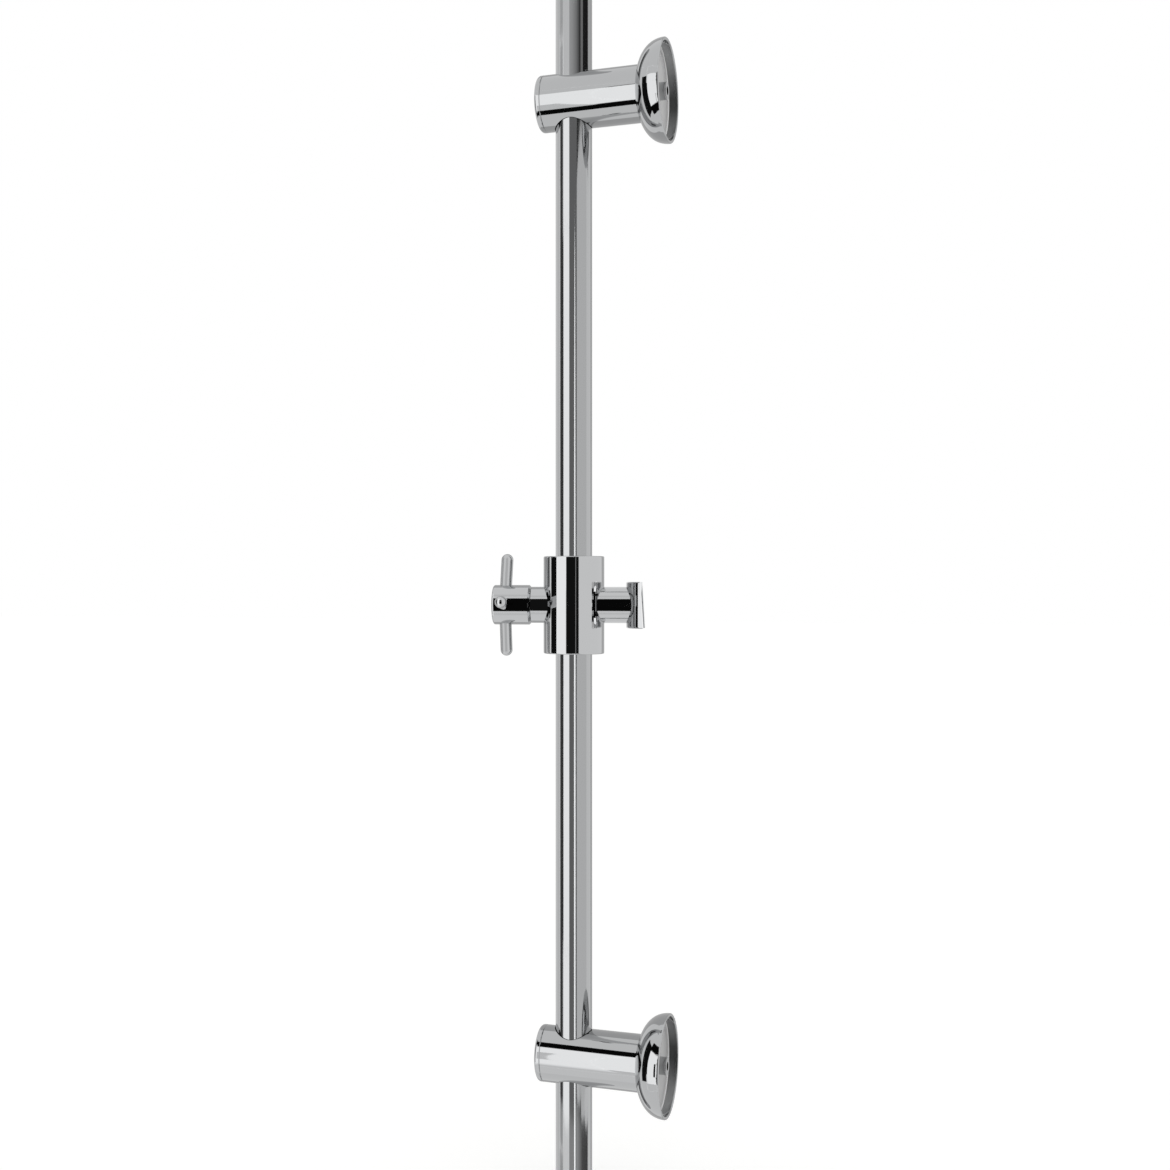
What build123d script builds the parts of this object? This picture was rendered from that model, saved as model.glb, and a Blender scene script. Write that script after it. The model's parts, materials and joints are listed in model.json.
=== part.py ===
# Riser rail of a shower column: an upright tube on two wall brackets, with a slider
# that is clamped by a cross handle and carries a tilting handset holder.
# Millimetres. +Z runs up the tube and +Y points at the wall.
# The origin is the mouth of the lower bracket's tapped wall fixing.
import os
from math import cos, radians, sin

from build123d import *

os.makedirs("parts", exist_ok=True)

# Tube
tube_diameter = 22.0
tube_wall = 1.0
tube_end_chamfer = 0.4
tube_above_bracket = 80.0
tube_below_bracket = 88.0

# Wall brackets
bracket_spacing = 580.0
tube_to_wall = 57.8
arm_diameter = 34.0
arm_nose_wall = 6.2
arm_seam_chamfer = 0.35
bore_relief = 0.45
cap_thickness = 3.5
cap_edge_radius = 2.0
cap_spigot_diameter = 20.0
cap_spigot_length = 2.4
cap_spigot_wall = 3.0
grub_diameter = 8.0
grub_length = 4.0
grub_socket_across = 4.0
grub_socket_depth = 2.3
pad_thickness = 1.2

# Bell-shaped wall flanges
bell_diameter = 61.4
bell_rise = 18.7
bell_fullness = 2.36
dome_spans = 6
bell_lip_width = 2.0
bell_lip_radius = 0.6
bell_recess_depth = 6.3
bell_stud_diameter = 12.0
bell_stud_length = 9.0
boss_diameter = 10.6
boss_below_rim = 0.7
wall_thread_bore = 5.0
wall_thread_depth = 14.0

# Slider
slider_height_on_rail = 274.0
slider_turn = 9.1
slider_length = 59.0
slider_wall = 4.8
slider_edge_radius = 0.8
bush_wall = 2.4
bush_length = 13.5
bush_end_chamfer = 0.5
neck_diameter = 22.0
neck_length = 7.1

# Cross handle
hub_diameter = 24.2
hub_length = 23.3
hub_front_radius = 1.2
hub_back_chamfer = 1.3
hub_front_wall = 5.0
pin_diameter = 7.3
pin_count = 4
pin_tip_radius = 31.2
pin_root_radius = 6.5
pin_setback = 6.9
pin_rake = 2.5
handle_rest_turn = 4.0
screw_diameter = 10.0
shoe_length = 3.4

# Handset holder
slot_inner_wall = 0.6
slot_height = 28.2
clip_thickness = 1.6
clip_width = 26.8
clip_side_radius = 24.5
clip_edge_chamfer = 0.25
groove_diameter = 14.0
head_diameter = 20.8
head_thickness = 0.7
washer_thickness = 0.4
spigot_diameter = 22.0
spigot_length = 34.45
cradle_diameter = 36.0
cradle_height = 28.0
cradle_edge_radius = 1.0
cradle_front_top = 8.9
cradle_front_bottom = 7.2
seat_setback = 8.9
seat_top_diameter = 15.4
seat_bottom_diameter = 13.6

# Clearances
running_gap = 0.05
fixed_gap = 0.05
free_gap = 0.3
slider_bore_gap = 0.4
end_gap = 0.1

# Places along an arm, the handle or the holder are counted from the tube's axis
tube_radius = tube_diameter / 2
arm_radius = arm_diameter / 2
bell_radius = bell_diameter / 2
tube_y = boss_below_rim - tube_to_wall
slider_z = slider_height_on_rail
arm_front = tube_radius + arm_nose_wall
cap_socket_floor = arm_front - cap_spigot_length - end_gap
bell_seat_share = arm_radius / bell_radius
bell_seat_depth = bell_rise * (1 - bell_seat_share**bell_fullness) ** (1 / bell_fullness)
bell_seat = tube_to_wall - bell_seat_depth
bush_bore_radius = tube_radius + running_gap
bush_radius = bush_bore_radius + bush_wall
bush_seat_radius = bush_radius + running_gap
slider_radius = bush_seat_radius + slider_wall
slider_bore_radius = tube_radius + slider_bore_gap
neck_end = slider_radius + neck_length
hub_back = neck_end + free_gap
hub_front = hub_back + hub_length
pin_station = hub_front - pin_setback
shoe_back = tube_radius + shoe_length
screw_end = hub_front - hub_front_wall - end_gap
slot_inner = slider_bore_radius + slot_inner_wall
head_back = slot_inner + end_gap
clip_back = head_back + head_thickness + running_gap
clip_front = clip_back + clip_thickness
washer_back = clip_front + running_gap
slot_outer = washer_back + washer_thickness
clip_height = slot_height - 2 * free_gap
clip_side_centre = clip_side_radius - clip_width / 2
clip_fork_width = groove_diameter + 2 * running_gap
cradle_axis = slot_outer + spigot_length

# The slider stands turned on the tube, so its front and back have directions of their own
wallward = Vector(-sin(radians(slider_turn)), cos(radians(slider_turn)), 0)
sideways = Vector(cos(radians(slider_turn)), sin(radians(slider_turn)), 0)
slider_centre = Vector(0, tube_y, slider_z)
slider_section = Plane(origin=slider_centre, x_dir=wallward, z_dir=sideways)
slider_back = Plane(origin=slider_centre, x_dir=-sideways, z_dir=wallward)
slider_front = Plane(origin=slider_centre, x_dir=sideways, z_dir=-wallward)
pin_centre = slider_centre - wallward * pin_station


def arm_section(height):
    """Plane through an arm's axis: local X runs to the wall, local Y upwards."""
    return Plane(origin=(0, tube_y, height), x_dir=(0, 1, 0), z_dir=(1, 0, 0))


def arm_axis(height):
    """Axis of an arm, pointing at the wall."""
    return Axis((0, tube_y, height), (0, 1, 0))


def facing_wall(height):
    """Plane across an arm at the tube's axis, facing the wall."""
    return Plane(origin=(0, tube_y, height), x_dir=(-1, 0, 0), z_dir=(0, 1, 0))


def facing_room(height):
    """Plane across an arm at the tube's axis, facing the room."""
    return Plane(origin=(0, tube_y, height), x_dir=(1, 0, 0), z_dir=(0, -1, 0))


def across_tube(height):
    """Plane across the tube at that height, facing up."""
    return Plane(origin=(0, tube_y, height))


def dome_point(share):
    """Point of the bell's superelliptic dome, from its rim at 0 to its seat on the arm at 1."""
    depth = bell_seat_depth * share
    radius = bell_radius * (1 - (depth / bell_rise) ** bell_fullness) ** (1 / bell_fullness)
    return tube_to_wall - depth, radius


def pin_direction(index):
    """Direction of a handle pin, raked back towards the slider."""
    turn = radians(handle_rest_turn + index * 360 / pin_count)
    spoke = sideways * cos(turn) + Vector(0, 0, sin(turn))
    return spoke * cos(radians(pin_rake)) + wallward * sin(radians(pin_rake))


def save(piece, name):
    """Label a finished piece and write it under its name."""
    piece.part.label = name
    export_step(piece.part, f"parts/{name}.step")


# Riser tube, open at both ends
with BuildPart() as riser_tube:
    with BuildSketch(across_tube(-tube_below_bracket)):
        Circle(tube_radius)
        Circle(tube_radius - tube_wall, mode=Mode.SUBTRACT)
    extrude(amount=tube_below_bracket + bracket_spacing + tube_above_bracket)
    tube_ends = riser_tube.edges().filter_by(GeomType.CIRCLE)
    chamfer(tube_ends.filter_by(lambda e: e.radius > tube_radius - tube_wall / 2), tube_end_chamfer)
save(riser_tube, "riser_tube")

# The two wall brackets are alike
for level, bracket_z in (("lower", 0.0), ("upper", bracket_spacing)):
    # Bell: a turned dome with a stud in front and a recess and tapped boss behind
    with BuildPart() as bell:
        with BuildSketch(arm_section(bracket_z)):
            with BuildLine():
                shares = [sin(radians(90 * i / dome_spans)) for i in range(dome_spans + 1)]
                dome = Spline(*[dome_point(share) for share in shares])
                stud_end = bell_seat - bell_stud_length
                recess_floor = tube_to_wall - bell_recess_depth
                recess_radius = bell_radius - bell_lip_width
                boss_end = tube_to_wall - boss_below_rim
                Polyline(
                    dome @ 1,
                    (bell_seat, bell_stud_diameter / 2),
                    (stud_end, bell_stud_diameter / 2),
                    (stud_end, 0),
                    (boss_end, 0),
                    (boss_end, boss_diameter / 2),
                    (recess_floor, boss_diameter / 2),
                    (recess_floor, recess_radius),
                    (tube_to_wall, recess_radius),
                    dome @ 0,
                )
            make_face()
        revolve(axis=arm_axis(bracket_z))
        lip = bell.edges().filter_by(GeomType.CIRCLE).group_by(Axis.Y)[-1]
        fillet(lip, bell_lip_radius)
        with BuildSketch(facing_wall(bracket_z).offset(boss_end)):
            Circle(wall_thread_bore / 2)
        extrude(amount=-wall_thread_depth, mode=Mode.SUBTRACT)
    save(bell, f"{level}_bell")

    # Arm: a turned bar, cross-bored for the tube and relieved at the bore's mouths,
    # with a screw hole behind its cap
    with BuildPart() as arm:
        with BuildSketch(arm_section(bracket_z)):
            with BuildLine():
                stud_socket = bell_stud_diameter / 2 + fixed_gap
                stud_floor = bell_seat - bell_stud_length - end_gap
                cap_socket = cap_spigot_diameter / 2 + fixed_gap
                Polyline(
                    (0, 0),
                    (0, grub_diameter / 2 + fixed_gap),
                    (-cap_socket_floor, grub_diameter / 2 + fixed_gap),
                    (-cap_socket_floor, cap_socket),
                    (-arm_front, cap_socket),
                    (-arm_front, arm_radius),
                    (bell_seat, arm_radius),
                    (bell_seat, stud_socket),
                    (stud_floor, stud_socket),
                    (stud_floor, 0),
                    close=True,
                )
            make_face()
        revolve(axis=arm_axis(bracket_z))
        nose = arm.edges().filter_by(GeomType.CIRCLE).group_by(Axis.Y)[0].sort_by(SortBy.RADIUS)[-1]
        chamfer(nose, arm_seam_chamfer)
        with Locations((0, tube_y, bracket_z)):
            Cylinder(tube_radius + running_gap, 2 * arm_diameter, mode=Mode.SUBTRACT)
        for mouth in (across_tube(bracket_z), across_tube(bracket_z).rotated((180, 0, 0))):
            with BuildSketch(mouth.offset(tube_radius)):
                Circle(tube_radius + bore_relief)
            extrude(amount=arm_radius, mode=Mode.SUBTRACT)
    save(arm, f"{level}_arm")

    # End cap: a round-edged disc on a ring-shaped spigot
    with BuildPart() as end_cap:
        with BuildSketch(arm_section(bracket_z)):
            with BuildLine():
                spigot_end = -arm_front + cap_spigot_length
                spigot_bore = cap_spigot_diameter / 2 - cap_spigot_wall
                Polyline(
                    (-arm_front - cap_thickness, 0),
                    (-arm_front - cap_thickness, arm_radius),
                    (-arm_front, arm_radius),
                    (-arm_front, cap_spigot_diameter / 2),
                    (spigot_end, cap_spigot_diameter / 2),
                    (spigot_end, spigot_bore),
                    (-arm_front, spigot_bore),
                    (-arm_front, 0),
                    close=True,
                )
            make_face()
        revolve(axis=arm_axis(bracket_z))
        rims = end_cap.edges().filter_by(GeomType.CIRCLE).sort_by(SortBy.RADIUS)[-2:]
        fillet(rims.sort_by(Axis.Y)[0], cap_edge_radius)
        chamfer(rims.sort_by(Axis.Y)[-1], arm_seam_chamfer)
    save(end_cap, f"{level}_end_cap")

    # Clamp pad: a nylon disc, hollowed to sit on the tube
    with BuildPart() as clamp_pad:
        with BuildSketch(facing_room(bracket_z)):
            Circle(grub_diameter / 2 - fixed_gap)
        extrude(amount=tube_radius + pad_thickness)
        with Locations((0, tube_y, bracket_z)):
            Cylinder(tube_radius, 2 * arm_diameter, mode=Mode.SUBTRACT)
    save(clamp_pad, f"{level}_clamp_pad")

    # Grub screw: presses the pad on the tube
    grub_seat = facing_room(bracket_z).offset(tube_radius + pad_thickness)
    with BuildPart() as grub_screw:
        with BuildSketch(grub_seat):
            Circle(grub_diameter / 2)
        extrude(amount=grub_length)
        with BuildSketch(grub_seat.offset(grub_length)):
            RegularPolygon(grub_socket_across / 2, 6, major_radius=False)
        extrude(amount=-grub_socket_depth, mode=Mode.SUBTRACT)
    save(grub_screw, f"{level}_grub_screw")

# Guide bushes: nylon rings let into the ends of the slider
for level, side in (("lower", -1), ("upper", 1)):
    bush_outer_end = slider_length / 2 - end_gap
    bush_bottom = bush_outer_end - bush_length if side > 0 else -bush_outer_end
    with BuildPart() as guide_bush:
        with BuildSketch(across_tube(slider_z + bush_bottom)):
            Circle(bush_radius)
            Circle(bush_bore_radius, mode=Mode.SUBTRACT)
        extrude(amount=bush_length)
        open_end = guide_bush.edges().filter_by(GeomType.CIRCLE).group_by(Axis.Z)[-1 if side > 0 else 0]
        chamfer(open_end, bush_end_chamfer)
    save(guide_bush, f"{level}_guide_bush")

# Slider body: a sleeve with the handle's neck in front, and behind it a cross slot
# for the holder's clip and a round journal for the holder's spigot
with BuildPart() as slider_body:
    with BuildSketch(across_tube(slider_z - slider_length / 2)):
        Circle(slider_radius)
    extrude(amount=slider_length)
    fillet(slider_body.edges().filter_by(GeomType.CIRCLE), slider_edge_radius)
    with BuildSketch(slider_front):
        Circle(neck_diameter / 2)
    extrude(amount=neck_end)
    with Locations((0, tube_y, slider_z)):
        Cylinder(slider_bore_radius, 2 * slider_length, mode=Mode.SUBTRACT)
    bush_seat_depth = bush_length + 2 * end_gap
    for bush_seat_bottom in (-slider_length / 2, slider_length / 2 - bush_seat_depth):
        with BuildSketch(across_tube(slider_z + bush_seat_bottom)):
            Circle(bush_seat_radius)
        extrude(amount=bush_seat_depth, mode=Mode.SUBTRACT)
    with BuildSketch(slider_front):
        Circle(screw_diameter / 2 + running_gap)
    extrude(amount=neck_end, mode=Mode.SUBTRACT)
    with BuildSketch(slider_back.offset(slot_inner)):
        Rectangle(4 * slider_radius, slot_height)
    extrude(amount=slot_outer - slot_inner, mode=Mode.SUBTRACT)
    with BuildSketch(slider_back.offset(slot_inner)):
        Circle(spigot_diameter / 2 + running_gap)
    extrude(amount=slider_radius, mode=Mode.SUBTRACT)
save(slider_body, "slider_body")

# Clamp shoe: a nylon plug, hollowed to sit on the tube
with BuildPart() as clamp_shoe:
    with BuildSketch(slider_front):
        Circle(screw_diameter / 2)
    extrude(amount=shoe_back)
    with Locations((0, tube_y, slider_z)):
        Cylinder(tube_radius + running_gap, slider_length, mode=Mode.SUBTRACT)
save(clamp_shoe, "clamp_shoe")

# Clamp screw: the threaded spindle between the shoe and the hub
with BuildPart() as clamp_screw:
    with BuildSketch(slider_front.offset(shoe_back)):
        Circle(screw_diameter / 2)
    extrude(amount=screw_end - shoe_back)
save(clamp_screw, "clamp_screw")

# Handle hub: a turned drum with a blind bore for the spindle and cross holes for the pins
with BuildPart() as handle_hub:
    with BuildSketch(slider_front.offset(hub_back)):
        Circle(hub_diameter / 2)
    extrude(amount=hub_length)
    rims = handle_hub.edges().filter_by(GeomType.CIRCLE).sort_by(Axis.Y)
    fillet(rims[0], hub_front_radius)
    chamfer(rims[-1], hub_back_chamfer)
    with BuildSketch(slider_front.offset(hub_back)):
        Circle(screw_diameter / 2 + fixed_gap)
    extrude(amount=hub_length - hub_front_wall, mode=Mode.SUBTRACT)
    for index in range(pin_count):
        along = pin_direction(index)
        hole_floor = pin_centre + along * (pin_root_radius - end_gap)
        with BuildSketch(Plane(origin=hole_floor, x_dir=wallward.cross(along), z_dir=along)):
            Circle(pin_diameter / 2 + fixed_gap)
        extrude(amount=hub_diameter, mode=Mode.SUBTRACT)
save(handle_hub, "handle_hub")

# Handle pins: round-ended bars fixed in the hub's cross holes
for index in range(pin_count):
    along = pin_direction(index)
    with BuildPart() as handle_pin:
        with BuildSketch(Plane(origin=pin_centre, x_dir=along, z_dir=wallward.cross(along))):
            with BuildLine():
                shaft = Polyline(
                    (pin_tip_radius, 0),
                    (pin_root_radius, 0),
                    (pin_root_radius, pin_diameter / 2),
                    (pin_tip_radius - pin_diameter / 2, pin_diameter / 2),
                )
                RadiusArc(shaft @ 1, shaft @ 0, pin_diameter / 2)
            make_face()
        revolve(axis=Axis(pin_centre, along))
    save(handle_pin, f"handle_pin_{index + 1}")

# Holder: a spigot with a grooved end and a round-backed cradle, in one casting,
# with a tapered handset seat that opens through the cradle's leaning front
with BuildPart() as holder:
    with BuildSketch(slider_back.offset(slot_outer)):
        Circle(spigot_diameter / 2)
    extrude(amount=spigot_length)
    cradle_foot = slider_centre + wallward * cradle_axis - Vector(0, 0, cradle_height / 2)
    with BuildSketch(Plane(origin=cradle_foot, x_dir=sideways, z_dir=(0, 0, 1))):
        Circle(cradle_diameter / 2)
    extrude(amount=cradle_height)
    cradle_rims = holder.edges().filter_by(GeomType.CIRCLE).sort_by(SortBy.RADIUS)
    fillet(cradle_rims.filter_by(lambda e: e.radius > spigot_diameter / 2 + end_gap), cradle_edge_radius)
    with BuildSketch(slider_section):
        with BuildLine():
            front_lean = cradle_front_top - cradle_front_bottom
            Polyline(
                (cradle_axis - cradle_front_top - front_lean, 1.5 * cradle_height),
                (cradle_axis - cradle_front_bottom + front_lean, -1.5 * cradle_height),
                (cradle_axis + cradle_diameter, -1.5 * cradle_height),
                (cradle_axis + cradle_diameter, 1.5 * cradle_height),
                close=True,
            )
        make_face()
    extrude(amount=cradle_diameter, both=True, mode=Mode.SUBTRACT)
    seat_foot = cradle_foot - wallward * seat_setback
    with BuildSketch(Plane(origin=seat_foot, x_dir=sideways, z_dir=(0, 0, 1))):
        Circle(seat_bottom_diameter / 2)
    with BuildSketch(Plane(origin=seat_foot + Vector(0, 0, cradle_height), x_dir=sideways, z_dir=(0, 0, 1))):
        Circle(seat_top_diameter / 2)
    loft(mode=Mode.SUBTRACT)
    with BuildSketch(slider_back.offset(slot_outer)):
        Circle(groove_diameter / 2)
    extrude(amount=head_back - slot_outer)
    with BuildSketch(slider_back.offset(head_back)):
        Circle(head_diameter / 2)
    extrude(amount=head_thickness)
save(holder, "holder")

# Retaining clip: a fork pushed into the slot from the side, so that it keeps the spigot's groove
with BuildPart() as retaining_clip:
    with BuildSketch(slider_back.offset(clip_back)):
        Rectangle(clip_width, clip_height)
        with Locations((clip_side_centre, 0)):
            Circle(clip_side_radius, mode=Mode.INTERSECT)
        with Locations((-clip_side_centre, 0)):
            Circle(clip_side_radius, mode=Mode.INTERSECT)
        Circle(clip_fork_width / 2, mode=Mode.SUBTRACT)
        with Locations((clip_width / 2, 0)):
            Rectangle(clip_width, clip_fork_width, mode=Mode.SUBTRACT)
    extrude(amount=clip_thickness)
    sides = retaining_clip.edges().filter_by(GeomType.CIRCLE).filter_by(lambda e: e.radius > clip_width / 2)
    chamfer(sides, clip_edge_chamfer)
save(retaining_clip, "retaining_clip")

# Friction washer: between the clip and the spigot's shoulder, so that the holder stays where it is tilted
with BuildPart() as friction_washer:
    with BuildSketch(slider_back.offset(washer_back)):
        Circle(head_diameter / 2)
        Circle(clip_fork_width / 2, mode=Mode.SUBTRACT)
    extrude(amount=washer_thickness)
save(friction_washer, "friction_washer")
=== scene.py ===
"""Looks of a shower column's riser rail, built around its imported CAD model.

The rail stands in the CAD frame: +Z up the tube, +Y to the wall, metres.
"""
import json
import math

import bpy
from bpy.props import FloatProperty, FloatVectorProperty, PointerProperty
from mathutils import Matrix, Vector


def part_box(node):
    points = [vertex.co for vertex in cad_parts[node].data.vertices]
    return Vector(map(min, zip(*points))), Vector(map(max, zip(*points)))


bl_info = {
    "name": "Shower riser rail",
    "version": (1, 0, 0),
    "blender": (4, 5, 0),
    "location": "3D View > Sidebar > Riser rail",
    "description": "Finishes the chrome riser rail of a shower column and sets its studio",
    "category": "Object",
}

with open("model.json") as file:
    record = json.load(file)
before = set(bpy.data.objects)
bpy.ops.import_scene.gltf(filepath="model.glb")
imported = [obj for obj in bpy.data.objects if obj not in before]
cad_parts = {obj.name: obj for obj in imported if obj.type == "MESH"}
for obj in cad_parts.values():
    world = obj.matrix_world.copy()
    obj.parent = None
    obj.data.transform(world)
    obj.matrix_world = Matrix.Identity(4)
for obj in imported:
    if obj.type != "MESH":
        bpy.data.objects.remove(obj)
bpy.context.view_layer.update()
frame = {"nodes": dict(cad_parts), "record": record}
nodes = frame["nodes"]

MM = 0.001
# Hollow back of a bell, as in the CAD
RECESS_RADIUS = 28.7 * MM
RECESS_DEPTH = 6.3 * MM
# Where the masks of that hollow go from 0 to 1: two radii, heights over its floor or heights off its axis
WALL_FADE = (RECESS_RADIUS + 0.3 * MM, RECESS_RADIUS + 0.1 * MM)
BOSS_FADE = (25 * MM, 20 * MM)
BACK_FADE = (-0.6 * MM, -0.3 * MM)
FLOOR_FADE = (1.0 * MM, 0.8 * MM)
CORNER_FADE = (0.05 * MM, 0.3 * MM)
ENDS_FADE = (4 * MM, RECESS_RADIUS)
# Sizes of the plate's haze and ripple, and the ripple's height
HAZE_SIZE = 18 * MM
RIPPLE_SIZE = 9 * MM
RIPPLE_HEIGHT = 0.0006 * MM
# Size of the clouds in moulded nylon
CLOUD_SIZE = 6 * MM
# Brightness of the white room as light, and of the floor's own glow to the camera
ROOM_LIGHT = 0.8
FLOOR_GLOW = 0.3
# Side of the floor, and its gap under the tube's foot
FLOOR_SIZE = 30
FLOOR_GAP = 0.5 * MM
# From a card to the softbox that hides it
COVER_GAP = 5 * MM
# Brightness of the black cards, where 1 is white paper
BLACK = 0.004
DARK = 0.008
# Sides of the studio, as turns in degrees round the tube from the lens, positive to the picture's right
LENS_SIDE = (-27, 18)
KEY_SIDE = (-69, -27)
WIDE_KEY_SIDE = (-76, -27)
LEFT_SIDE = (-95.5, -69)
# Distances from the tube's axis: softboxes stand before the cards on their side
KEY_DISTANCE = 0.90
FILL_DISTANCE = 0.92
LENS_CARD_DISTANCE = 0.94
RIGHT_FILL_DISTANCE = 0.95
LEFT_FILL_DISTANCE = 0.98
CARD_DISTANCE = 1.0
# Bottom and top of what stands there
LENS_HEIGHTS = (-0.44, 1.02)
ABOVE_LENS = (1.02, 2.4)
BELOW_LENS = (-1.85, -0.44)
LEFT_HEIGHTS = (-0.4, 0.95)
TUBE_HEIGHTS = (-0.34, 0.86)
HEAD_HEIGHTS = (0.86, 1.7)
UPPER_HEIGHTS = (-0.149, 0.98)
LOWER_HEIGHTS = (-0.42, 0.71)
tube_low, tube_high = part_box("riser_tube")
tube_axis = Vector(((tube_low.x + tube_high.x) / 2, (tube_low.y + tube_high.y) / 2, 0))


def linear(hex_colour):
    """Linear RGB of an sRGB hex colour."""
    channels = [int(hex_colour[i:i + 2], 16) / 255 for i in (1, 3, 5)]
    return tuple(c / 12.92 if c <= 0.04045 else ((c + 0.055) / 1.055) ** 2.4 for c in channels)


class RailFinish(bpy.types.PropertyGroup):
    """Colours and finishes of the rail's pieces."""

    chrome: FloatVectorProperty(
        name="Chrome", description="Colour of the polished chrome plate",
        subtype="COLOR", default=linear("#BEBFC0"),
    )
    chrome_roughness: FloatProperty(
        name="Chrome roughness", description="How far the polished plate blurs what it mirrors",
        subtype="FACTOR", min=0, max=1, default=0.035,
    )
    tube: FloatVectorProperty(
        name="Tube", description="Colour of the chrome plate on the tube and the brackets",
        subtype="COLOR", default=linear("#B3B4B5"),
    )
    tube_roughness: FloatProperty(
        name="Tube roughness", description="How far the drawn tube's plate blurs what it mirrors",
        subtype="FACTOR", min=0, max=1, default=0.07,
    )
    pin_roughness: FloatProperty(
        name="Pin roughness", description="How far the handle's pins blur what they mirror",
        subtype="FACTOR", min=0, max=1, default=0.06,
    )
    cast_floor: FloatVectorProperty(
        name="Cast floor", description="Colour of the unpolished floor in a bell's hollow back",
        subtype="COLOR", default=linear("#BDBDBD"),
    )
    # Painted highlight: a bright line at the corner that stands in for the light a fillet there catches
    painted_corner_highlight: FloatVectorProperty(
        name="Painted corner highlight", description="Colour of the corner between that floor and its wall",
        subtype="COLOR", default=linear("#F2F2F2"),
    )
    # Painted shade: a darker colour on the hollow's wall that stands in for the dark it mirrors
    painted_wall_shade: FloatVectorProperty(
        name="Painted wall shade", description="Colour of the painted shade on the wall of a bell's hollow back",
        subtype="COLOR", default=linear("#565757"),
    )
    natural_nylon: FloatVectorProperty(
        name="Natural nylon", description="Colour of the clamp pads and the shoe",
        subtype="COLOR", default=linear("#E3DFD0"),
    )
    black_nylon: FloatVectorProperty(
        name="Black nylon", description="Colour of the guide bushes and the friction washer",
        subtype="COLOR", default=linear("#161617"),
    )
    screw_steel: FloatVectorProperty(
        name="Screw steel", description="Colour of the stainless screws",
        subtype="COLOR", default=linear("#A9A9A6"),
    )


class RailStudio(bpy.types.PropertyGroup):
    """Camera, floor and light."""

    lens_turn: FloatProperty(
        name="Lens turn", description="Where the lens stands round the tube, from the room side",
        subtype="ANGLE", default=math.radians(104.6),
    )
    lens_distance: FloatProperty(
        name="Lens distance", description="From the tube's axis to the lens",
        subtype="DISTANCE", unit="LENGTH", default=0.9785,
    )
    camera_swing: FloatProperty(
        name="Camera swing", description="How far the camera looks past the tube, to its left",
        subtype="ANGLE", default=math.radians(6.86),
    )
    camera_height: FloatProperty(
        name="Camera height", description="Height of the lens above the lower wall fixing",
        subtype="DISTANCE", unit="LENGTH", default=0.2861,
    )
    lens: FloatProperty(
        name="Lens", description="Focal length on a 36 mm sensor, in millimetres", min=1, default=49.2,
    )
    frame_shift: FloatProperty(
        name="Frame shift", description="Sideways shift of the picture, as a share of its width",
        default=0.1739,
    )
    floor: FloatVectorProperty(
        name="Floor", description="Colour of the floor", subtype="COLOR", default=linear("#F4F4F3"),
    )
    softbox: FloatProperty(
        name="Softbox", description="Brightness of the slider's softbox, where 1 is white paper",
        min=0, default=1.5,
    )
    tube_key: FloatProperty(
        name="Tube softbox", description="Brightness of the softboxes for the tube and the brackets",
        min=0, default=1.66,
    )


def studio():
    """The studio's settings."""
    return bpy.context.scene.rail_studio


def finish():
    """The finishes' settings."""
    return bpy.context.scene.rail_finish


def add_node(tree, kind, links=None, **settings):
    """Add a shader node. Settings name its properties, or its sockets by socket name; links feed sockets."""
    node = tree.nodes.new(kind)
    for key, value in settings.items():
        if hasattr(node, key):
            setattr(node, key, value)
        else:
            node.inputs[key.replace("_", " ")].default_value = value
    for socket, source in (links or {}).items():
        tree.links.new(source, node.inputs[socket])
    return node


def new_material(name):
    """A new material with an empty node tree, and its output node."""
    material = bpy.data.materials.new(name)
    material.use_nodes = True
    material.node_tree.nodes.clear()
    output = material.node_tree.nodes.new("ShaderNodeOutputMaterial")
    return material, material.node_tree, output


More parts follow.
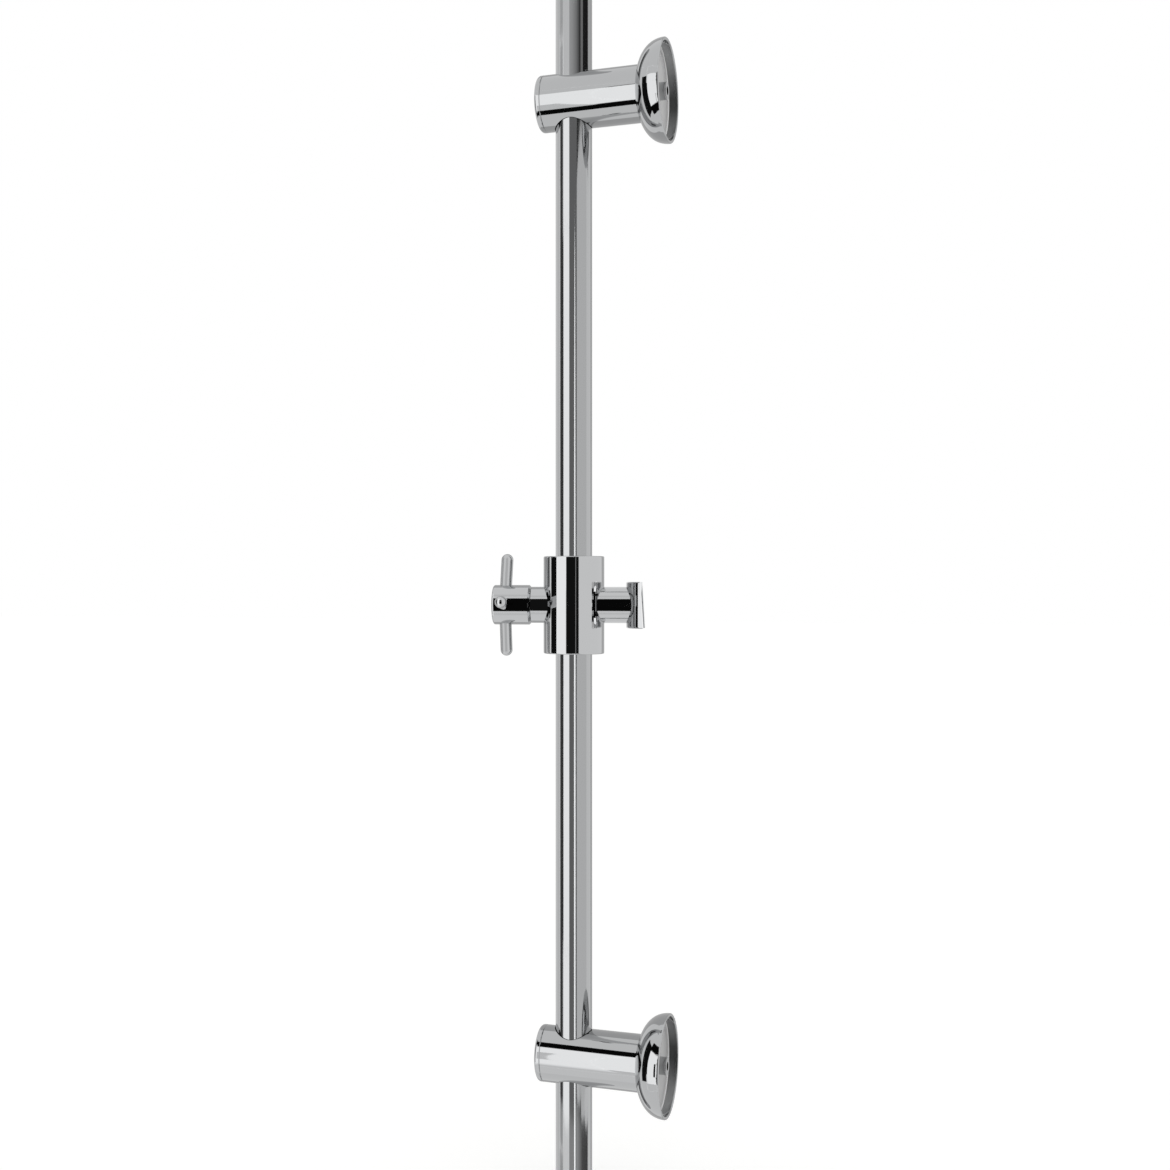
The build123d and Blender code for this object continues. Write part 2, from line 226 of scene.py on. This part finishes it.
def metal(name, colour, roughness, grain=None, ripple_height=0.0, recess=None):
    """A plated or bare metal.

    Grain gives the stretch, size and height of its tool marks. Ripple is the slow unevenness of the plate.
    Recess names a bell whose hollow back gets painted shade on its wall, lighter towards its top and bottom
    and on the boss as a painted reflection, with its floor left as cast and a painted highlight on the
    corner between them.
    """
    material, tree, output = new_material(name)
    place = add_node(tree, "ShaderNodeTexCoord")
    haze = add_node(
        tree, "ShaderNodeTexNoise", {"Vector": place.outputs["Object"]}, Scale=1 / HAZE_SIZE, Detail=4.0
    )
    rough = add_node(
        tree, "ShaderNodeMapRange", {"Value": haze.outputs["Fac"]},
        From_Min=0.3, From_Max=0.7, To_Min=0.75 * roughness, To_Max=1.3 * roughness,
    )
    tint = add_node(tree, "ShaderNodeMix", {"Factor": haze.outputs["Fac"]}, data_type="RGBA")
    tint.inputs[6].default_value = (*[0.985 * c for c in colour[:3]], 1)
    tint.inputs[7].default_value = (*colour[:3], 1)
    ripple = add_node(
        tree, "ShaderNodeTexNoise", {"Vector": place.outputs["Object"]}, Scale=1 / RIPPLE_SIZE, Detail=1.0
    )
    normal = add_node(
        tree, "ShaderNodeBump", {"Height": ripple.outputs["Fac"]}, Strength=1.0, Distance=ripple_height
    )
    if grain:
        stretch, size, height = grain
        along = add_node(tree, "ShaderNodeMapping", {"Vector": place.outputs["Object"]}, Scale=stretch)
        marks = add_node(
            tree, "ShaderNodeTexNoise", {"Vector": along.outputs["Vector"]}, Scale=1 / size, Detail=3.0
        )
        normal = add_node(
            tree, "ShaderNodeBump", {"Height": marks.outputs["Fac"], "Normal": normal.outputs["Normal"]},
            Strength=1.0, Distance=height,
        )
    surface = add_node(
        tree, "ShaderNodeBsdfPrincipled",
        {
            "Base Color": tint.outputs[2], "Roughness": rough.outputs["Result"],
            "Normal": normal.outputs["Normal"],
        },
        Metallic=1.0,
    )
    if recess:
        inside, floor, polished, corner = recess_masks(tree, place.outputs["Object"], recess)
        # Painted shade on the hollow's wall, left off the boss and off the wall's top and bottom, which stay
        # lighter as a painted reflection
        wall_shade = add_node(tree, "ShaderNodeMix", {"Factor": polished, 7: tint.outputs[2]}, data_type="RGBA")
        wall_shade.inputs[6].default_value = (*finish().painted_wall_shade, 1)
        plate = add_node(
            tree, "ShaderNodeMix",
            {"Factor": inside, 6: tint.outputs[2], 7: wall_shade.outputs[2]}, data_type="RGBA",
        )
        tree.links.new(plate.outputs[2], surface.inputs["Base Color"])
        # Painted highlight on the corner between the floor and the wall
        corner_highlight = add_node(tree, "ShaderNodeMix", {"Factor": corner}, data_type="RGBA")
        corner_highlight.inputs[6].default_value = (*finish().cast_floor, 1)
        corner_highlight.inputs[7].default_value = (*finish().painted_corner_highlight, 1)
        cast = add_node(
            tree, "ShaderNodeBsdfPrincipled",
            {"Base Color": corner_highlight.outputs[2], "Normal": normal.outputs["Normal"]},
            Roughness=0.5, Metallic=0.2,
        )
        surface = add_node(
            tree, "ShaderNodeMixShader", {0: floor, 1: surface.outputs["BSDF"], 2: cast.outputs["BSDF"]}
        )
    tree.links.new(surface.outputs[0], output.inputs["Surface"])
    return material


def recess_masks(tree, place, bell):
    """Four masks of a bell's hollow back: all of it, its floor, the parts kept free of painted shade and its
    corner line, which gets a painted highlight.

    Those parts are the boss and the wall towards the top and bottom, where the wall stays lighter as a
    painted reflection.
    """
    low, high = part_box(bell)
    middle = (low + high) / 2
    offset = add_node(tree, "ShaderNodeVectorMath", {0: place}, operation="SUBTRACT")
    offset.inputs[1].default_value = (middle.x, high.y - RECESS_DEPTH, middle.z)
    flat = add_node(tree, "ShaderNodeVectorMath", {0: offset.outputs["Vector"]}, operation="MULTIPLY")
    flat.inputs[1].default_value = (1, 0, 1)
    radius = add_node(tree, "ShaderNodeVectorMath", {0: flat.outputs["Vector"]}, operation="LENGTH")
    height = add_node(tree, "ShaderNodeSeparateXYZ", {"Vector": offset.outputs["Vector"]})
    from_axis = add_node(tree, "ShaderNodeMath", {0: height.outputs["Z"]}, operation="ABSOLUTE")
    masks = {}
    for name, source, (dark, bright) in (
        ("wall", radius.outputs["Value"], WALL_FADE), ("boss", radius.outputs["Value"], BOSS_FADE),
        ("back", height.outputs["Y"], BACK_FADE), ("floor", height.outputs["Y"], FLOOR_FADE),
        ("corner", height.outputs["Y"], CORNER_FADE), ("ends", from_axis.outputs["Value"], ENDS_FADE),
    ):
        fade = add_node(tree, "ShaderNodeMapRange", {"Value": source}, From_Min=dark, From_Max=bright)
        masks[name] = fade.outputs["Result"]
    inside = add_node(tree, "ShaderNodeMath", {0: masks["wall"], 1: masks["back"]}, operation="MULTIPLY")
    floor = add_node(
        tree, "ShaderNodeMath", {0: inside.outputs["Value"], 1: masks["floor"]}, operation="MULTIPLY"
    )
    # Parts kept free of the painted shade: the boss, and the wall's top and bottom as a painted reflection
    polished = add_node(tree, "ShaderNodeMath", {0: masks["ends"], 1: masks["boss"]}, operation="MAXIMUM")
    return inside.outputs["Value"], floor.outputs["Value"], polished.outputs["Value"], masks["corner"]


def moulded(name, colour, roughness, grain_size, grain_height):
    """A moulded plastic: a fine eroded grain and slightly uneven colour."""
    material, tree, output = new_material(name)
    place = add_node(tree, "ShaderNodeTexCoord")
    grain = add_node(
        tree, "ShaderNodeTexNoise", {"Vector": place.outputs["Object"]}, Scale=1 / grain_size, Detail=6.0
    )
    cloud = add_node(
        tree, "ShaderNodeTexNoise", {"Vector": place.outputs["Object"]}, Scale=1 / CLOUD_SIZE, Detail=2.0
    )
    tint = add_node(tree, "ShaderNodeMix", {"Factor": cloud.outputs["Fac"]}, data_type="RGBA")
    tint.inputs[6].default_value = (*[0.88 * c for c in colour[:3]], 1)
    tint.inputs[7].default_value = (*colour[:3], 1)
    rough = add_node(
        tree, "ShaderNodeMapRange", {"Value": grain.outputs["Fac"]},
        From_Min=0.3, From_Max=0.7, To_Min=0.85 * roughness, To_Max=1.15 * roughness,
    )
    bump = add_node(
        tree, "ShaderNodeBump", {"Height": grain.outputs["Fac"]}, Strength=1.0, Distance=grain_height
    )
    surface = add_node(
        tree, "ShaderNodeBsdfPrincipled",
        {
            "Base Color": tint.outputs[2], "Roughness": rough.outputs["Result"],
            "Normal": bump.outputs["Normal"],
        },
        IOR=1.53,
    )
    tree.links.new(surface.outputs["BSDF"], output.inputs["Surface"])
    return material


class RAIL_OT_finish_nodes(bpy.types.Operator):
    """Give each CAD node the finish of its material slot"""

    bl_idname = "rail.finish_nodes"
    bl_label = "Finish the CAD pieces"

    def execute(self, context):
        look = finish()
        slots = {
            # Mirror-polished chrome plate on brass: crisp reflections with the slightest ripple
            "polished_chrome": metal(
                "polished_chrome_plate", look.chrome, look.chrome_roughness, ripple_height=RIPPLE_HEIGHT
            ),
            # Chrome plate on drawn tube: die lines run along it and soften what it mirrors
            "tube_chrome": metal(
                "drawn_tube_chrome", look.tube, look.tube_roughness,
                ((1, 1, 0.01), 0.8 * MM, 0.0001 * MM), RIPPLE_HEIGHT,
            ),
            # Turned stainless: fine rings round the screw
            "screw_steel": metal(
                "turned_stainless", look.screw_steel, 0.3, ((0.1, 1, 0.1), 0.3 * MM, 0.002 * MM)
            ),
            # Nylon as moulded: a faint eroded grain
            "natural_nylon": moulded("natural_nylon", look.natural_nylon, 0.5, 0.4 * MM, 0.01 * MM),
            "black_nylon": moulded("black_nylon", look.black_nylon, 0.45, 0.4 * MM, 0.01 * MM),
        }
        for row in frame["record"]["subparts"]:
            wear(nodes[row["node"]], slots[row["material_slot"]])
        # Plate on the turned arms and caps: a shade deeper than the slider's
        bracket_plate = metal(
            "bracket_chrome_plate", look.tube, look.chrome_roughness, ripple_height=RIPPLE_HEIGHT
        )
        # Plate on the drawn pins: it blurs the studio to a soft grey
        pin_plate = metal("pin_chrome_plate", look.chrome, look.pin_roughness, ripple_height=RIPPLE_HEIGHT)
        for level in ("lower", "upper"):
            wear(nodes[f"{level}_arm"], bracket_plate)
            wear(nodes[f"{level}_end_cap"], bracket_plate)
            # Plate on the bell: polished outside, with a matte floor in its hollow back, painted shade on
            # the hollow's wall and a painted highlight at the corner
            wear(nodes[f"{level}_bell"], metal(
                f"{level}_bell_chrome_plate", look.tube, look.chrome_roughness,
                ripple_height=RIPPLE_HEIGHT, recess=f"{level}_bell",
            ))
        for name in nodes:
            if name.startswith("handle_pin"):
                wear(nodes[name], pin_plate)
        return {"FINISHED"}


def wear(piece, material):
    """Give a piece one material."""
    piece.data.materials.clear()
    piece.data.materials.append(material)


def towards(turn):
    """Unit direction at a turn round the tube from the lens, positive to the picture's right."""
    around = studio().lens_turn + turn
    return Vector((math.sin(around), -math.cos(around), 0))


def panel_place(left, right, distance, bottom, top):
    """Place and size of an upright panel that faces the tube between two turns, in degrees."""
    middle = math.radians((left + right) / 2)
    width = 2 * distance * math.tan(math.radians(right - left) / 2)
    centre = tube_axis + towards(middle) * distance + Vector((0, 0, (bottom + top) / 2))
    facing = towards(middle).to_track_quat("Z", "Y")
    return centre, facing.to_euler(), width, top - bottom


def softbox(name, span, lit, brightness, shape="RECTANGLE", right_share=None, low_share=None):
    """An upright softbox. Only the lit nodes mirror it, on top of what stands behind it.

    Right share fades it from its left edge to that share of its brightness at its right edge.
    Low share fades it from its top edge to that share at its bottom edge.
    """
    centre, turned, width, height = panel_place(*span)
    data = bpy.data.lights.new(name, "AREA")
    data.shape = shape
    data.size = width
    data.size_y = height
    area = width * height if shape == "RECTANGLE" else math.pi / 4 * width * height
    # Power at which the lamp's face is as bright as a world of this strength
    data.energy = brightness * math.pi * area
    if right_share is not None or low_share is not None:
        data.use_nodes = True
        tree = data.node_tree
        tree.nodes.clear()
        place = add_node(tree, "ShaderNodeNewGeometry")
        across = add_node(tree, "ShaderNodeSeparateXYZ", {"Vector": place.outputs["Parametric"]})
        axis, first, last = ("Y", low_share, 1.0) if right_share is None else ("X", 1.0, right_share)
        fade = add_node(
            tree, "ShaderNodeMapRange", {"Value": across.outputs[axis]}, To_Min=first, To_Max=last
        )
        glow = add_node(tree, "ShaderNodeEmission", {"Strength": fade.outputs["Result"]}, Color=(1, 1, 1, 1))
        add_node(tree, "ShaderNodeOutputLight", {"Surface": glow.outputs["Emission"]})
    lamp = bpy.data.objects.new(name, data)
    lamp.location = centre
    lamp.rotation_euler = turned
    lamp.visible_camera = False
    bpy.context.scene.collection.objects.link(lamp)
    receivers = bpy.data.collections.new(name)
    for node in lit:
        receivers.objects.link(nodes[node])
    lamp.light_linking.receiver_collection = receivers


def flag(name, span, brightness, seen_by=None, top_brightness=None):
    """An upright dark card that only reflections see, and that may fade to another brightness at its top.

    A softbox hides it from the nodes that it isn't meant for.
    """
    centre, turned, width, height = panel_place(*span)
    bpy.ops.object.select_all(action="DESELECT")
    bpy.ops.mesh.primitive_plane_add(size=1, location=centre, rotation=turned)
    card = bpy.context.object
    card.name = name
    card.scale = (width, height, 1)
    material, tree, output = new_material(name)
    glow = add_node(tree, "ShaderNodeEmission", Color=(1, 1, 1, 1), Strength=brightness)
    if top_brightness is not None:
        place = add_node(tree, "ShaderNodeTexCoord")
        upward = add_node(tree, "ShaderNodeSeparateXYZ", {"Vector": place.outputs["UV"]})
        fade = add_node(
            tree, "ShaderNodeMapRange", {"Value": upward.outputs["Y"]},
            To_Min=brightness, To_Max=top_brightness,
        )
        tree.links.new(fade.outputs["Result"], glow.inputs["Strength"])
    tree.links.new(glow.outputs["Emission"], output.inputs["Surface"])
    card.data.materials.append(material)
    card.visible_camera = False
    card.visible_diffuse = False
    card.visible_shadow = False
    card.visible_transmission = False
    if seen_by:
        left, right, distance, bottom, top = span
        others = [node for node in nodes if node not in seen_by]
        softbox(f"{name}_cover", (left, right, distance - COVER_GAP, bottom, top), others, 1 - brightness)


class RAIL_OT_stage(bpy.types.Operator):
    """Set the floor, the light and the camera"""

    bl_idname = "rail.stage"
    bl_label = "Set the studio"

    def execute(self, context):
        scene = context.scene
        settings = studio()
        scene.view_settings.view_transform = "Standard"

        # White room: seen by the camera and in the chrome, and a little lower as light
        world = bpy.data.worlds.new("white_room")
        scene.world = world
        world.use_nodes = True
        tree = world.node_tree
        tree.nodes.clear()
        output = tree.nodes.new("ShaderNodeOutputWorld")
        path = add_node(tree, "ShaderNodeLightPath")
        seen_or_mirrored = add_node(
            tree, "ShaderNodeMath",
            {0: path.outputs["Is Camera Ray"], 1: path.outputs["Is Glossy Ray"]}, operation="MAXIMUM",
        )
        seen = add_node(
            tree, "ShaderNodeMath",
            {0: seen_or_mirrored.outputs[0], 1: path.outputs["Is Transmission Ray"]}, operation="MAXIMUM",
        )
        light = add_node(tree, "ShaderNodeBackground", Color=(1, 1, 1, 1), Strength=ROOM_LIGHT)
        paper = add_node(tree, "ShaderNodeBackground", Color=(1, 1, 1, 1), Strength=1.0)
        mix = add_node(
            tree, "ShaderNodeMixShader",
            {0: seen.outputs[0], 1: light.outputs["Background"], 2: paper.outputs["Background"]},
        )
        tree.links.new(mix.outputs["Shader"], output.inputs["Surface"])

        # Floor under the tube's foot: white paper that keeps the rail's soft shadow
        bpy.ops.object.select_all(action="DESELECT")
        bpy.ops.mesh.primitive_plane_add(size=FLOOR_SIZE, location=(0, 0, tube_low.z - FLOOR_GAP))
        floor = context.object
        floor.name = "floor"
        material, tree, output = new_material("white_paper_floor")
        path = add_node(tree, "ShaderNodeLightPath")
        paper = add_node(tree, "ShaderNodeBsdfDiffuse", Color=(*settings.floor, 1))
        lift = add_node(
            tree, "ShaderNodeEmission", {"Strength": path.outputs["Is Camera Ray"]},
            Color=(FLOOR_GLOW, FLOOR_GLOW, FLOOR_GLOW, 1),
        )
        both = add_node(
            tree, "ShaderNodeAddShader", {0: paper.outputs["BSDF"], 1: lift.outputs["Emission"]}
        )
        tree.links.new(both.outputs["Shader"], output.inputs["Surface"])
        floor.data.materials.append(material)
        floor.visible_glossy = False

        # Pieces that mirror the studio in their own way
        tube = ("riser_tube",)
        pins = [name for name in nodes if name.startswith("handle_pin")]
        # The pin nearest the lens shows only its tip, as bright as the hub
        near_pin = max(pins, key=lambda name: sum(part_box(name), Vector()).dot(towards(0)))
        soft_pins = [name for name in pins if name != near_pin]
        upper_arm = ("upper_arm", "upper_end_cap")
        lower_arm = ("lower_arm", "lower_end_cap")
        upper_bracket = (*upper_arm, "upper_bell")
        lower_bracket = (*lower_arm, "lower_bell")
        bells = ("upper_bell", "lower_bell")
        slider = [name for name in nodes if name not in (*upper_arm, *lower_arm, *bells, *tube)]
        clamped = [name for name in slider if name not in soft_pins]
        all_but_holder = [name for name in nodes if name != "holder"]
        key = settings.softbox
        tube_key = settings.tube_key

        # A span is two turns, the distance from the tube's axis, the bottom and the top
        # Cards before the lens and to its left, for all pieces
        flag("flag_camera", (*LENS_SIDE, LENS_CARD_DISTANCE, *LENS_HEIGHTS), BLACK)
        flag("flag_above", (*LENS_SIDE, LENS_CARD_DISTANCE, *ABOVE_LENS), 0.76, top_brightness=1.0)
        flag("flag_below", (*LENS_SIDE, LENS_CARD_DISTANCE, *BELOW_LENS), 1.0, top_brightness=0.8)
        flag("flag_left", (*LEFT_SIDE, CARD_DISTANCE, *LEFT_HEIGHTS), DARK)
        # Cards behind the rail and far to its left, each for the pieces named
        flag("flag_behind", (130, 208, 1.3, -2.0, 2.6), 0.6, all_but_holder)
        flag("flag_far_left", (-114, -105, CARD_DISTANCE, -0.6, 1.2), 0.01, slider)
        flag("flag_back_left", (-150, -127, CARD_DISTANCE, -0.6, 1.2), 0.45, slider)
        flag("flag_bells", (-104, -95.5, CARD_DISTANCE, *LEFT_HEIGHTS), DARK, (*bells, "holder"))
        # Black strips of the brackets
        flag("flag_upper_strip", (*WIDE_KEY_SIDE, LENS_CARD_DISTANCE, -0.806, -0.149), BLACK, upper_bracket)
        flag("flag_lower_strip", (*WIDE_KEY_SIDE, LENS_CARD_DISTANCE, 0.71, 1.34), BLACK, lower_bracket)
        flag("flag_upper_strip_end", (-27, 6, 0.93, -0.806, -0.44), BLACK, upper_bracket)
        flag("flag_lower_strip_end", (-27, 6, 0.93, 1.02, 1.34), BLACK, lower_bracket)
        flag("flag_lower_bell", (-38, -30, 0.93, -0.149, 0.28), DARK, ("lower_bell",))
        # Cards of the tube
        flag("flag_tube_left", (-150, -96, 1.2, -1.1, 1.7), 0.84, tube)
        flag("flag_head_left", (*LEFT_SIDE, CARD_DISTANCE, 0.95, 1.7), 0.68, tube)
        flag("flag_head_right", (18, 100, CARD_DISTANCE, *HEAD_HEIGHTS), 0.02, tube)
        flag("flag_head_edge", (100, 130, CARD_DISTANCE, *HEAD_HEIGHTS), 0.7, tube)
        flag("flag_foot_left", (*LEFT_SIDE, CARD_DISTANCE, -1.1, -0.4), 0.62, tube)
        flag("flag_foot_near", (18, 46, CARD_DISTANCE, -1.1, -0.345), 0.12, tube)
        flag("flag_foot_right", (46, 70, CARD_DISTANCE, -1.1, -0.365), 0.12, tube)
        flag("flag_foot_edge", (70, 98, CARD_DISTANCE, -1.1, -0.374), 0.1, tube)
        flag("flag_tube_right", (18, 86, 1.2, -0.42, 0.93), 0.85, tube)

        # Softboxes to the left of the lens and before it, for the slider, the tube and the brackets
        softbox("slider_key", (*KEY_SIDE, KEY_DISTANCE, -1.33, 1.91), clamped, key - 1)
        softbox("tube_key", (*KEY_SIDE, KEY_DISTANCE, *TUBE_HEIGHTS), tube, tube_key - 1)
        softbox("upper_key", (*WIDE_KEY_SIDE, KEY_DISTANCE, *UPPER_HEIGHTS), upper_arm, tube_key - 1)
        softbox("upper_key_aside", (*LENS_SIDE, FILL_DISTANCE, *UPPER_HEIGHTS), upper_arm, tube_key)
        softbox("lower_key", (*WIDE_KEY_SIDE, KEY_DISTANCE, *LOWER_HEIGHTS), lower_arm, tube_key - 1)
        softbox("lower_key_aside", (*LENS_SIDE, FILL_DISTANCE, *LOWER_HEIGHTS), lower_arm, tube_key)
        for name, span in (
            ("lower_key_foot", (*WIDE_KEY_SIDE, KEY_DISTANCE, -0.6, -0.42)),
            ("lower_key_foot_aside", (*LENS_SIDE, FILL_DISTANCE, -0.6, -0.44)),
        ):
            softbox(name, span, lower_arm, tube_key - 1, low_share=0.2)
        softbox("lower_under", (-76, 18, KEY_DISTANCE, -2.2, -0.6), lower_arm, 0.08)
        # The bells' window, which on the lower bell leaves out a black sliver
        softbox("upper_window", (*KEY_SIDE, KEY_DISTANCE, *UPPER_HEIGHTS), ("upper_bell",), tube_key - 1)
        softbox("lower_window", (-69, -38, KEY_DISTANCE, *LOWER_HEIGHTS), ("lower_bell",), tube_key - 1)
        softbox("lower_window_gap", (-38, -30, KEY_DISTANCE, 0.28, 0.71), ("lower_bell",), tube_key - 1)
        softbox("lower_window_foot", (-38, -30, KEY_DISTANCE, -0.42, -0.149), ("lower_bell",), tube_key - 1)
        softbox("lower_window_end", (-30, -27, KEY_DISTANCE, *LOWER_HEIGHTS), ("lower_bell",), tube_key - 1)
        softbox("bell_camera_fill", (*LENS_SIDE, FILL_DISTANCE, *LENS_HEIGHTS), bells, 0.15)

        # The slider's body is not quite black before the lens, with a faint line in it
        softbox("body_fill", (*LENS_SIDE, FILL_DISTANCE, *LENS_HEIGHTS), ("slider_body",), 0.006)
        softbox("body_line", (5.5, 8, 0.91, -0.6, 0.36), ("slider_body",), 0.3)

        # The cradle's front is white from its dark edge line to the far side of its seat
        softbox("cradle_side", (-75, -69, LEFT_FILL_DISTANCE, *LEFT_HEIGHTS), ("holder",), key)
        softbox("cradle_seat", (-5, 18, FILL_DISTANCE, 0.1, 0.5), ("holder",), key)

        # The retaining clip is a white bar above and below the spigot
        softbox("clip_above", (*LENS_SIDE, FILL_DISTANCE, *ABOVE_LENS), ("retaining_clip",), 0.6)
        softbox("clip_below", (*LENS_SIDE, FILL_DISTANCE, *BELOW_LENS), ("retaining_clip",), 0.6)

        # The tube's dark bands are dark grey, with a tapered bright line near the lens
        softbox("tube_camera_fill", (*LENS_SIDE, FILL_DISTANCE, *TUBE_HEIGHTS), tube, 0.22)
        softbox("tube_left_fill", (*LEFT_SIDE, LEFT_FILL_DISTANCE, *TUBE_HEIGHTS), tube, 0.06)
        softbox("tube_line", (1, 10, 0.91, -0.66, 0.70), tube, tube_key, "ELLIPSE")

        # The tube's head and foot mirror softer shades
        softbox("head_left", (*LEFT_SIDE, LEFT_FILL_DISTANCE, 0.86, 0.95), tube, 0.67)
        softbox("head_camera", (*LENS_SIDE, FILL_DISTANCE, 0.86, 1.02), tube, 0.68, right_share=0.42)
        softbox("head_right", (18, 38, RIGHT_FILL_DISTANCE, *HEAD_HEIGHTS), tube, 0.26, right_share=0.1)
        softbox("head_line", (42, 58, RIGHT_FILL_DISTANCE, *HEAD_HEIGHTS), tube, 0.26)
        softbox("foot_left", (*LEFT_SIDE, LEFT_FILL_DISTANCE, -0.4, -0.34), tube, 0.58)
        softbox("foot_key", (*KEY_SIDE, KEY_DISTANCE, -1.1, -0.34), tube, 0.17)
        softbox("foot_camera", (*LENS_SIDE, FILL_DISTANCE, -0.44, -0.34), tube, 0.45)
        softbox("foot_right", (18, 55, RIGHT_FILL_DISTANCE, -1.1, -0.345), tube, 0.42, right_share=0.0)

        # The pins are softer than the hub
        softbox("pin_camera_fill", (*LENS_SIDE, FILL_DISTANCE, *LENS_HEIGHTS), soft_pins, 0.75)
        softbox("pin_left_fill", (*LEFT_SIDE, LEFT_FILL_DISTANCE, *LEFT_HEIGHTS), soft_pins, 0.55)

        # Camera
        data = bpy.data.cameras.new("camera")
        data.sensor_width = 36
        data.lens = settings.lens
        data.shift_x = settings.frame_shift
        data.clip_start = 0.01
        camera = bpy.data.objects.new("camera", data)
        scene.collection.objects.link(camera)
        camera.location = tube_axis + towards(0) * settings.lens_distance
        camera.location.z = settings.camera_height
        camera.rotation_euler = (-towards(settings.camera_swing)).to_track_quat("-Z", "Y").to_euler()
        scene.camera = camera
        return {"FINISHED"}


class RAIL_PT_sidebar(bpy.types.Panel):
    """Lists the rail's operators and settings"""

    bl_label = "Riser rail"
    bl_idname = "RAIL_PT_sidebar"
    bl_space_type = "VIEW_3D"
    bl_region_type = "UI"
    bl_category = "Riser rail"

    def draw(self, context):
        layout = self.layout
        for operator in OPERATORS:
            layout.operator(operator.bl_idname)
        for settings in (finish(), studio()):
            for name in settings.bl_rna.properties.keys():
                if name not in ("rna_type", "name"):
                    layout.prop(settings, name)


OPERATORS = (RAIL_OT_finish_nodes, RAIL_OT_stage)
CLASSES = (RailFinish, RailStudio, *OPERATORS, RAIL_PT_sidebar)


def register():
    """Register the classes and their settings on the scene."""
    for cls in CLASSES:
        bpy.utils.register_class(cls)
    bpy.types.Scene.rail_finish = PointerProperty(type=RailFinish)
    bpy.types.Scene.rail_studio = PointerProperty(type=RailStudio)


def unregister():
    """Remove what register added."""
    del bpy.types.Scene.rail_studio
    del bpy.types.Scene.rail_finish
    for cls in reversed(CLASSES):
        bpy.utils.unregister_class(cls)


def main():
    """Finish and stage the rail."""
    register()
    bpy.ops.rail.finish_nodes()
    bpy.ops.rail.stage()


if __name__ == "__main__":
    main()
